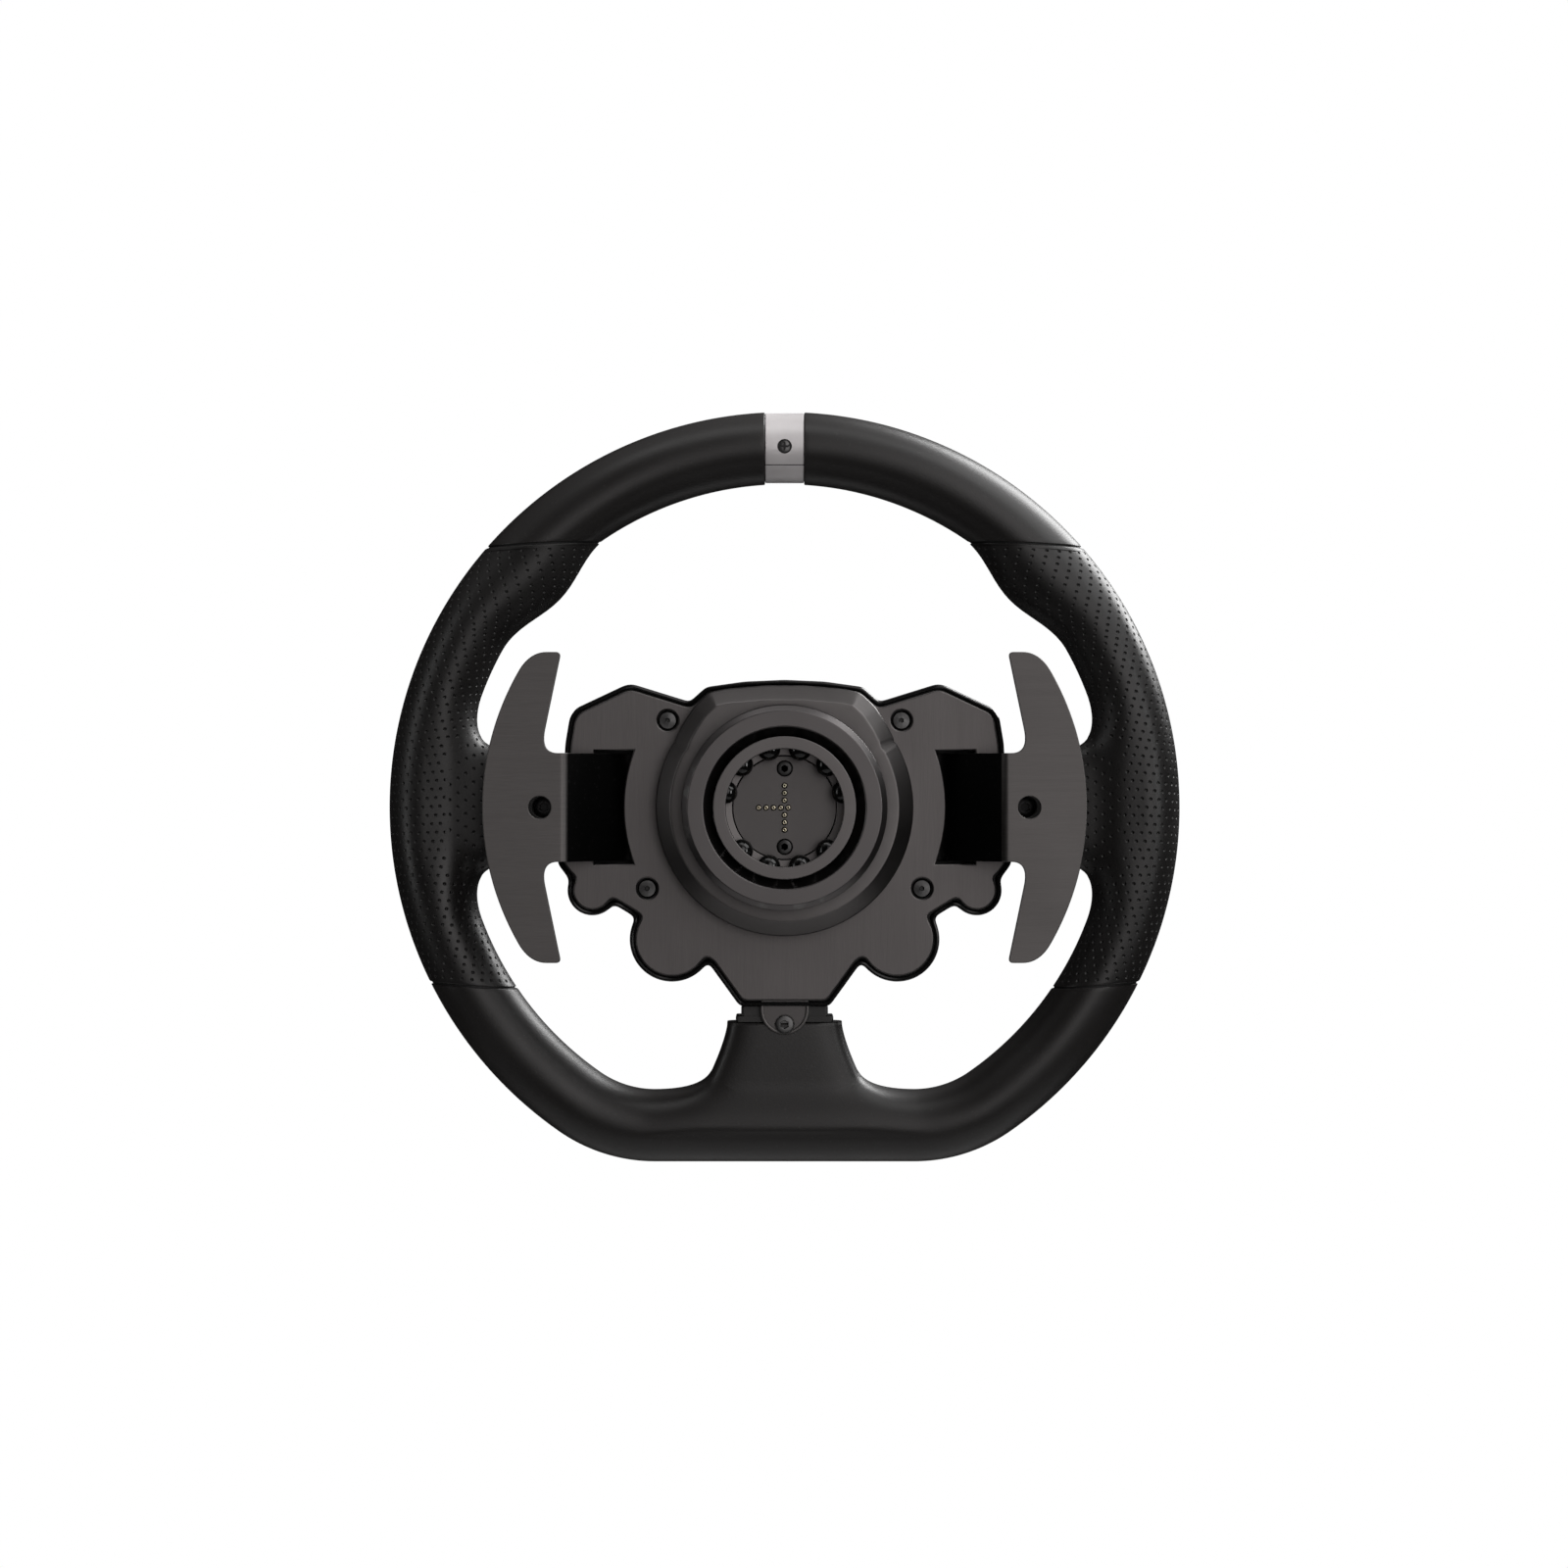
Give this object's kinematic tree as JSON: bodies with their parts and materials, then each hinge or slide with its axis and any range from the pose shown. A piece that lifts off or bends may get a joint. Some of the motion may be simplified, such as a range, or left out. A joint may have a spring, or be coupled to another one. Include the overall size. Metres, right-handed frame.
{
  "type": "racing wheel",
  "caption": "Flat-bottomed racing wheel with perforated side grips, two bent metal paddles, a control hub and a ball-lock quick release on its back.",
  "frame": {"origin": "on the steering axis, in the rear face of the quick-release sleeve, where the wheel base's hub enters", "axes": "+Z to 12 o'clock, -Y out of the quick release to the wheel base, +Y to the driver, +X to the driver's left, which is right when seen from behind the wheel"},
  "size_m": [0.28, 0.0825, 0.2654],
  "materials": {
    "cast_alloy": "cast and blasted, hidden in the grips",
    "smooth_grip": "moulded, satin",
    "perforated_leather": "perforated, satin",
    "silver": "satin silver",
    "black_screw": "black oxide",
    "brushed_graphite": "brushed up and down, dark anodised",
    "gloss_black": "gloss",
    "matte_black": "fine moulded texture",
    "anodised_flange": "turned, dark anodised",
    "anodised_sleeve": "turned, dark anodised",
    "anodised_collar": "turned, dark anodised",
    "spring_steel": "plain wire",
    "contact_face": "fine satin",
    "gold_pins": "gold plated, polished",
    "ball_steel": "polished",
    "paddle_alloy": "brushed across, dark anodised",
    "pin_steel": "ground",
    "rubber_cap": "matte",
    "gimbal_plastic": "matte",
    "button_plastic": "satin",
    "encoder_alloy": "turned, dark anodised",
    "cap_alloy": "dark anodised",
    "smoked_lens": "smoked, polished",
    "board": "solder mask"
  },
  "bodies": {
    "wheel_body": {"rim_plate": "cast_alloy", "top_grip_right": "smooth_grip", "top_grip_left": "smooth_grip", "bottom_grip": "smooth_grip", "handle_right": "perforated_leather", "handle_left": "perforated_leather", "marker_outer": "silver", "marker_inner": "silver", "marker_screw": "black_screw", "rear_plate": "brushed_graphite", "rear_housing": "gloss_black", "front_housing": "matte_black", "spoke_tab": "matte_black", "tab_screw": "black_screw", "neck_collar": "matte_black", "qr_flange": "anodised_flange", "qr_sleeve": "anodised_sleeve", "collar_spring": "spring_steel", "contact_plate": "contact_face", "contact_screw_upper": "black_screw", "contact_screw_lower": "black_screw", "centre_cap": "cap_alloy", "light_bar": "smoked_lens", "main_board": "board", "case_screw_upper_left": "black_screw", "case_screw_lower_left": "black_screw", "spoke_screw_left": "black_screw", "paddle_pivot_left": "pin_steel", "paddle_switch_left": "matte_black", "case_screw_upper_right": "black_screw", "case_screw_lower_right": "black_screw", "spoke_screw_right": "black_screw", "paddle_pivot_right": "pin_steel", "paddle_switch_right": "matte_black"},
    "lock_ball_01": {"lock_ball_01": "ball_steel"},
    "lock_ball_02": {"lock_ball_02": "ball_steel"},
    "lock_ball_03": {"lock_ball_03": "ball_steel"},
    "lock_ball_04": {"lock_ball_04": "ball_steel"},
    "lock_ball_05": {"lock_ball_05": "ball_steel"},
    "lock_ball_06": {"lock_ball_06": "ball_steel"},
    "lock_ball_07": {"lock_ball_07": "ball_steel"},
    "lock_ball_08": {"lock_ball_08": "ball_steel"},
    "lock_ball_09": {"lock_ball_09": "ball_steel"},
    "lock_ball_10": {"lock_ball_10": "ball_steel"},
    "release_collar": {"qr_collar": "anodised_collar"},
    "pin_carrier": {"contact_pins": "gold_pins"},
    "paddle_right": {"paddle_right": "paddle_alloy"},
    "gimbal_right": {"stick_gimbal_right": "gimbal_plastic"},
    "stick_right": {"thumbstick_right": "rubber_cap"},
    "lobe_button_right": {"lobe_button_right": "button_plastic"},
    "ear_button_inner_right": {"ear_button_inner_right": "button_plastic"},
    "ear_button_outer_right": {"ear_button_outer_right": "button_plastic"},
    "encoder_right": {"encoder_right": "encoder_alloy"},
    "paddle_left": {"paddle_left": "paddle_alloy"},
    "gimbal_left": {"stick_gimbal_left": "gimbal_plastic"},
    "stick_left": {"thumbstick_left": "rubber_cap"},
    "lobe_button_left": {"lobe_button_left": "button_plastic"},
    "ear_button_inner_left": {"ear_button_inner_left": "button_plastic"},
    "ear_button_outer_left": {"ear_button_outer_left": "button_plastic"},
    "encoder_left": {"encoder_left": "encoder_alloy"}
  },
  "joints": [
    {"name": "collar_pull", "type": "slide", "parent": "wheel_body", "child": "release_collar", "axis": [0, 1, 0], "range_m": [0, 0.006], "stiffness_N_per_m": 1500, "springref_m": -0.004, "deforming": ["collar_spring"]},
    {"name": "lock_ball_01_release", "type": "slide", "parent": "wheel_body", "child": "lock_ball_01", "axis": [0.2588, 0, 0.9659], "range_m": [0, 0.0027]},
    {"name": "lock_ball_02_release", "type": "slide", "parent": "wheel_body", "child": "lock_ball_02", "axis": [0.7071, 0, 0.7071], "range_m": [0, 0.0027]},
    {"name": "lock_ball_03_release", "type": "slide", "parent": "wheel_body", "child": "lock_ball_03", "axis": [0.9659, 0, 0.2588], "range_m": [0, 0.0027]},
    {"name": "lock_ball_04_release", "type": "slide", "parent": "wheel_body", "child": "lock_ball_04", "axis": [0.7071, 0, -0.7071], "range_m": [0, 0.0027]},
    {"name": "lock_ball_05_release", "type": "slide", "parent": "wheel_body", "child": "lock_ball_05", "axis": [0.2588, 0, -0.9659], "range_m": [0, 0.0027]},
    {"name": "lock_ball_06_release", "type": "slide", "parent": "wheel_body", "child": "lock_ball_06", "axis": [-0.2588, 0, -0.9659], "range_m": [0, 0.0027]},
    {"name": "lock_ball_07_release", "type": "slide", "parent": "wheel_body", "child": "lock_ball_07", "axis": [-0.7071, 0, -0.7071], "range_m": [0, 0.0027]},
    {"name": "lock_ball_08_release", "type": "slide", "parent": "wheel_body", "child": "lock_ball_08", "axis": [-0.9659, 0, 0.2588], "range_m": [0, 0.0027]},
    {"name": "lock_ball_09_release", "type": "slide", "parent": "wheel_body", "child": "lock_ball_09", "axis": [-0.7071, 0, 0.7071], "range_m": [0, 0.0027]},
    {"name": "lock_ball_10_release", "type": "slide", "parent": "wheel_body", "child": "lock_ball_10", "axis": [-0.2588, 0, 0.9659], "range_m": [0, 0.0027]},
    {"name": "pin_press", "type": "slide", "parent": "wheel_body", "child": "pin_carrier", "axis": [0, 1, 0], "range_m": [0, 0.001], "stiffness_N_per_m": 1200, "springref_m": -0.0008},
    {"name": "paddle_right_pull", "type": "hinge", "parent": "wheel_body", "child": "paddle_right", "pos_m": [0.049, 0.0519, 0], "axis": [0, 0, 1], "range_deg": [0, 4], "stiffness_Nm_per_rad": 2, "springref_deg": -3.44},
    {"name": "stick_right_sideways", "type": "hinge", "parent": "wheel_body", "child": "gimbal_right", "pos_m": [0.0396, 0.066, -0.0465], "axis": [0, 0, 1], "range_deg": [-15, 15], "stiffness_Nm_per_rad": 0.03},
    {"name": "stick_right_upright", "type": "hinge", "parent": "gimbal_right", "child": "stick_right", "pos_m": [0.0396, 0.066, -0.0465], "axis": [1, 0, 0], "range_deg": [-15, 15], "stiffness_Nm_per_rad": 0.03},
    {"name": "lobe_button_right_press", "type": "slide", "parent": "wheel_body", "child": "lobe_button_right", "axis": [0, -1, 0], "range_m": [0, 0.0015], "stiffness_N_per_m": 500, "springref_m": -0.001},
    {"name": "ear_button_inner_right_press", "type": "slide", "parent": "wheel_body", "child": "ear_button_inner_right", "axis": [0, -1, 0], "range_m": [0, 0.0015], "stiffness_N_per_m": 500, "springref_m": -0.001},
    {"name": "ear_button_outer_right_press", "type": "slide", "parent": "wheel_body", "child": "ear_button_outer_right", "axis": [0, -1, 0], "range_m": [0, 0.0015], "stiffness_N_per_m": 500, "springref_m": -0.001},
    {"name": "encoder_right_turn", "type": "hinge", "parent": "wheel_body", "child": "encoder_right", "pos_m": [0.062, 0.071, 0.004], "axis": [0, 1, 0], "continuous": true},
    {"name": "paddle_left_pull", "type": "hinge", "parent": "wheel_body", "child": "paddle_left", "pos_m": [-0.049, 0.0519, 0], "axis": [0, 0, -1], "range_deg": [0, 4], "stiffness_Nm_per_rad": 2, "springref_deg": -3.44},
    {"name": "stick_left_sideways", "type": "hinge", "parent": "wheel_body", "child": "gimbal_left", "pos_m": [-0.0396, 0.066, -0.0465], "axis": [0, 0, 1], "range_deg": [-15, 15], "stiffness_Nm_per_rad": 0.03},
    {"name": "stick_left_upright", "type": "hinge", "parent": "gimbal_left", "child": "stick_left", "pos_m": [-0.0396, 0.066, -0.0465], "axis": [1, 0, 0], "range_deg": [-15, 15], "stiffness_Nm_per_rad": 0.03},
    {"name": "lobe_button_left_press", "type": "slide", "parent": "wheel_body", "child": "lobe_button_left", "axis": [0, -1, 0], "range_m": [0, 0.0015], "stiffness_N_per_m": 500, "springref_m": -0.001},
    {"name": "ear_button_inner_left_press", "type": "slide", "parent": "wheel_body", "child": "ear_button_inner_left", "axis": [0, -1, 0], "range_m": [0, 0.0015], "stiffness_N_per_m": 500, "springref_m": -0.001},
    {"name": "ear_button_outer_left_press", "type": "slide", "parent": "wheel_body", "child": "ear_button_outer_left", "axis": [0, -1, 0], "range_m": [0, 0.0015], "stiffness_N_per_m": 500, "springref_m": -0.001},
    {"name": "encoder_left_turn", "type": "hinge", "parent": "wheel_body", "child": "encoder_left", "pos_m": [-0.062, 0.071, 0.004], "axis": [0, 1, 0], "continuous": true}
  ],
  "couplings": [
    {"joint": "lock_ball_01_release", "follows": "collar_pull", "ratio": 0.45},
    {"joint": "lock_ball_02_release", "follows": "collar_pull", "ratio": 0.45},
    {"joint": "lock_ball_03_release", "follows": "collar_pull", "ratio": 0.45},
    {"joint": "lock_ball_04_release", "follows": "collar_pull", "ratio": 0.45},
    {"joint": "lock_ball_05_release", "follows": "collar_pull", "ratio": 0.45},
    {"joint": "lock_ball_06_release", "follows": "collar_pull", "ratio": 0.45},
    {"joint": "lock_ball_07_release", "follows": "collar_pull", "ratio": 0.45},
    {"joint": "lock_ball_08_release", "follows": "collar_pull", "ratio": 0.45},
    {"joint": "lock_ball_09_release", "follows": "collar_pull", "ratio": 0.45},
    {"joint": "lock_ball_10_release", "follows": "collar_pull", "ratio": 0.45}
  ]
}
